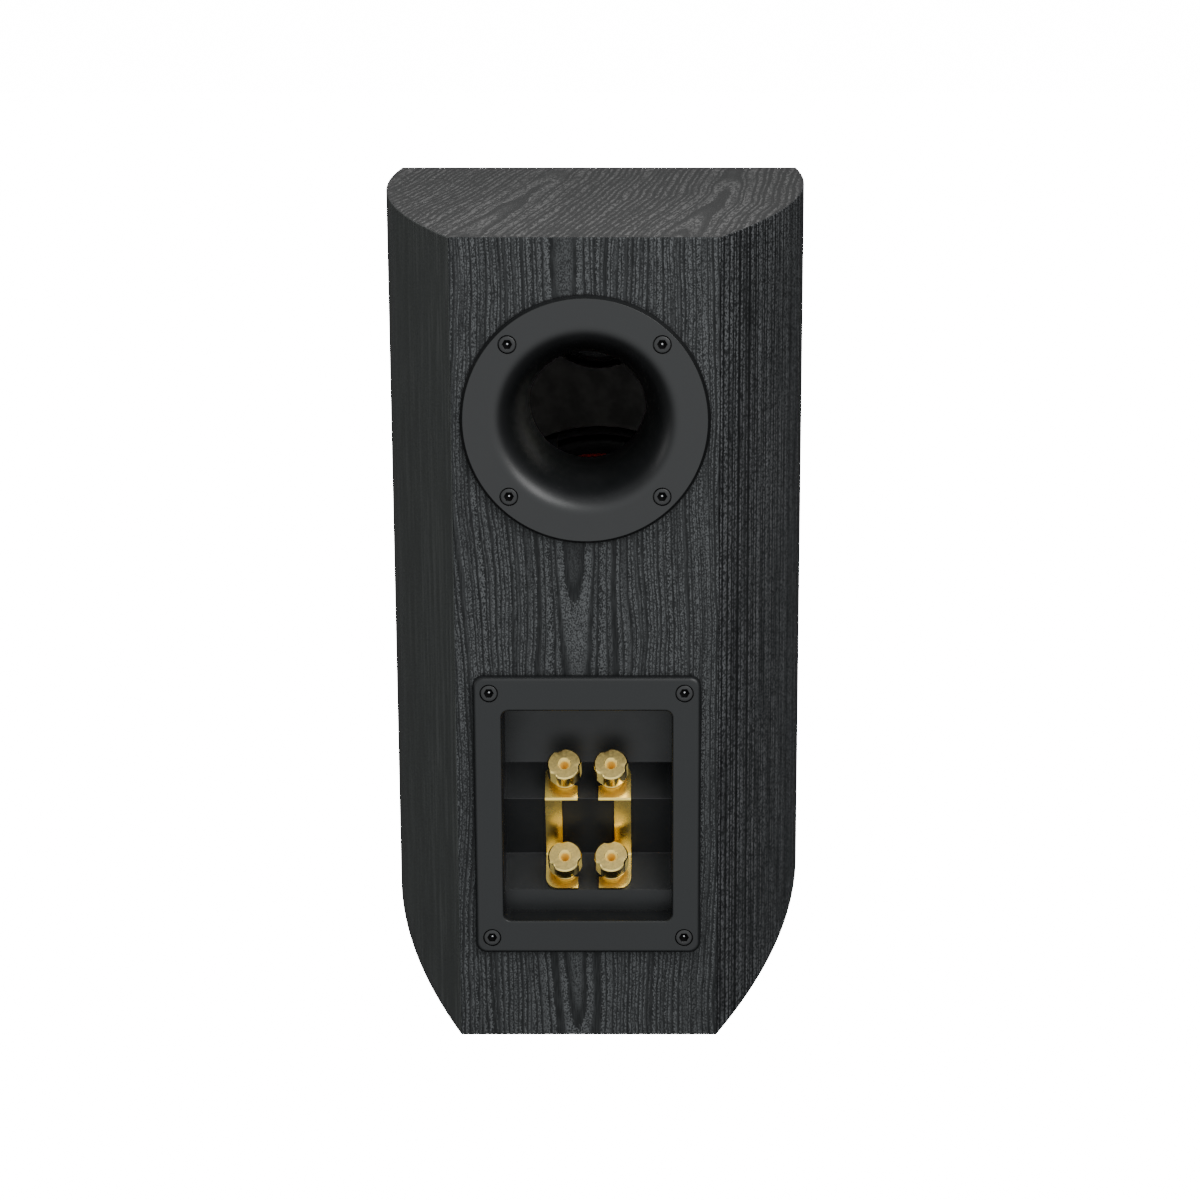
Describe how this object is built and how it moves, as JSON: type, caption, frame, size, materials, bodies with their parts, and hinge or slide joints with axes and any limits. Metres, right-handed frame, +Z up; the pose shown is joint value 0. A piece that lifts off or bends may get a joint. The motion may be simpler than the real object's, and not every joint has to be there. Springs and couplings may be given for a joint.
{
  "type": "bookshelf speaker",
  "caption": "Two-way bookshelf speaker: black ash cabinet with sides drawn in to a narrow back, rear reflex port and gold bi-wire binding posts with jumper straps.",
  "frame": {"origin": "on the floor, under the middle of the cabinet's bounding box", "axes": "+Z up; the drivers face -Y, the port and terminals face +Y, and +X is to the right of someone facing the front"},
  "size_m": [0.1948, 0.31, 0.33],
  "materials": {
    "cabinet_board": "black ash vinyl over board, satin, fine open grain",
    "inner_board": "bare fibreboard",
    "wadding": "loose polyester felt",
    "black_plastic": "satin black moulding",
    "black_screw": "black oxide, satin",
    "gold_plate": "polished gold plate",
    "basket_paint": "black stove enamel, satin",
    "plated_iron": "zinc plate",
    "ferrite": "dark sintered ferrite",
    "copper": "enamelled copper wire",
    "cone": "dark red woven cone",
    "dust_cap": "satin black",
    "surround_rubber": "matt black butyl",
    "spider_cloth": "treated cotton",
    "dome_silk": "coated silk, soft sheen",
    "circuit_board": "solder mask",
    "capacitor_film": "glossy wrap",
    "wire_sleeve": "matt sleeve"
  },
  "bodies": {
    "cabinet": {"bottom_panel": "cabinet_board", "top_panel": "cabinet_board", "front_baffle": "cabinet_board", "back_panel": "cabinet_board", "left_side_panel": "cabinet_board", "right_side_panel": "cabinet_board", "window_brace": "inner_board", "damping_wadding": "wadding", "port_tube": "black_plastic", "terminal_cup": "black_plastic", "tweeter_faceplate": "black_plastic", "tweeter_rear_cup": "black_plastic", "port_screw_1": "black_screw", "port_screw_2": "black_screw", "port_screw_3": "black_screw", "port_screw_4": "black_screw", "cup_screw_1": "black_screw", "cup_screw_2": "black_screw", "cup_screw_3": "black_screw", "cup_screw_4": "black_screw", "woofer_screw_1": "black_screw", "woofer_screw_2": "black_screw", "woofer_screw_3": "black_screw", "woofer_screw_4": "black_screw", "woofer_screw_5": "black_screw", "woofer_screw_6": "black_screw", "woofer_screw_7": "black_screw", "woofer_screw_8": "black_screw", "tweeter_screw_1": "black_screw", "tweeter_screw_2": "black_screw", "tweeter_screw_3": "black_screw", "post_stud_upper_left": "gold_plate", "post_stud_upper_right": "gold_plate", "post_stud_lower_left": "gold_plate", "post_stud_lower_right": "gold_plate", "jumper_strap_left": "gold_plate", "jumper_strap_right": "gold_plate", "woofer_basket": "basket_paint", "woofer_top_plate": "plated_iron", "woofer_yoke": "plated_iron", "woofer_magnet": "ferrite", "tweeter_magnet": "ferrite", "crossover_inductor": "copper", "woofer_surround": "surround_rubber", "woofer_spider": "spider_cloth", "crossover_board": "circuit_board", "crossover_capacitor": "capacitor_film", "driver_wiring": "wire_sleeve"},
    "woofer_diaphragm": {"woofer_cone": "cone", "woofer_dust_cap": "dust_cap", "woofer_voice_coil": "copper"},
    "tweeter_diaphragm": {"tweeter_dome": "dome_silk"},
    "washer_upper_left": {"clamp_washer_upper_left": "gold_plate"},
    "nut_upper_left": {"thumb_nut_upper_left": "gold_plate"},
    "washer_upper_right": {"clamp_washer_upper_right": "gold_plate"},
    "nut_upper_right": {"thumb_nut_upper_right": "gold_plate"},
    "washer_lower_left": {"clamp_washer_lower_left": "gold_plate"},
    "nut_lower_left": {"thumb_nut_lower_left": "gold_plate"},
    "washer_lower_right": {"clamp_washer_lower_right": "gold_plate"},
    "nut_lower_right": {"thumb_nut_lower_right": "gold_plate"}
  },
  "joints": [
    {"name": "woofer_travel", "type": "slide", "parent": "cabinet", "child": "woofer_diaphragm", "axis": [0, -1, 0], "range_m": [-0.006, 0.006], "stiffness_N_per_m": 1200, "deforming": ["woofer_surround", "woofer_spider"]},
    {"name": "tweeter_travel", "type": "slide", "parent": "cabinet", "child": "tweeter_diaphragm", "axis": [0, -1, 0], "range_m": [-0.0004, 0.0004], "stiffness_N_per_m": 800},
    {"name": "nut_lift_upper_left", "type": "slide", "parent": "cabinet", "child": "washer_upper_left", "axis": [0, 0.7071, 0.7071], "range_m": [0, 0.005]},
    {"name": "nut_turn_upper_left", "type": "hinge", "parent": "washer_upper_left", "child": "nut_upper_left", "pos_m": [-0.0095, 0.137, 0.1058], "axis": [0, 0.7071, 0.7071], "range_deg": [0, 1810]},
    {"name": "nut_lift_upper_right", "type": "slide", "parent": "cabinet", "child": "washer_upper_right", "axis": [0, 0.7071, 0.7071], "range_m": [0, 0.005]},
    {"name": "nut_turn_upper_right", "type": "hinge", "parent": "washer_upper_right", "child": "nut_upper_right", "pos_m": [0.0095, 0.137, 0.1058], "axis": [0, 0.7071, 0.7071], "range_deg": [0, 1810]},
    {"name": "nut_lift_lower_left", "type": "slide", "parent": "cabinet", "child": "washer_lower_left", "axis": [0, 0.7071, 0.7071], "range_m": [0, 0.005]},
    {"name": "nut_turn_lower_left", "type": "hinge", "parent": "washer_lower_left", "child": "nut_lower_left", "pos_m": [-0.0095, 0.137, 0.0664], "axis": [0, 0.7071, 0.7071], "range_deg": [0, 1810]},
    {"name": "nut_lift_lower_right", "type": "slide", "parent": "cabinet", "child": "washer_lower_right", "axis": [0, 0.7071, 0.7071], "range_m": [0, 0.005]},
    {"name": "nut_turn_lower_right", "type": "hinge", "parent": "washer_lower_right", "child": "nut_lower_right", "pos_m": [0.0095, 0.137, 0.0664], "axis": [0, 0.7071, 0.7071], "range_deg": [0, 1810]}
  ],
  "couplings": [
    {"joint": "nut_turn_upper_left", "follows": "nut_lift_upper_left", "rad_per_m": 6283.2},
    {"joint": "nut_turn_upper_right", "follows": "nut_lift_upper_right", "rad_per_m": 6283.2},
    {"joint": "nut_turn_lower_left", "follows": "nut_lift_lower_left", "rad_per_m": 6283.2},
    {"joint": "nut_turn_lower_right", "follows": "nut_lift_lower_right", "rad_per_m": 6283.2}
  ]
}
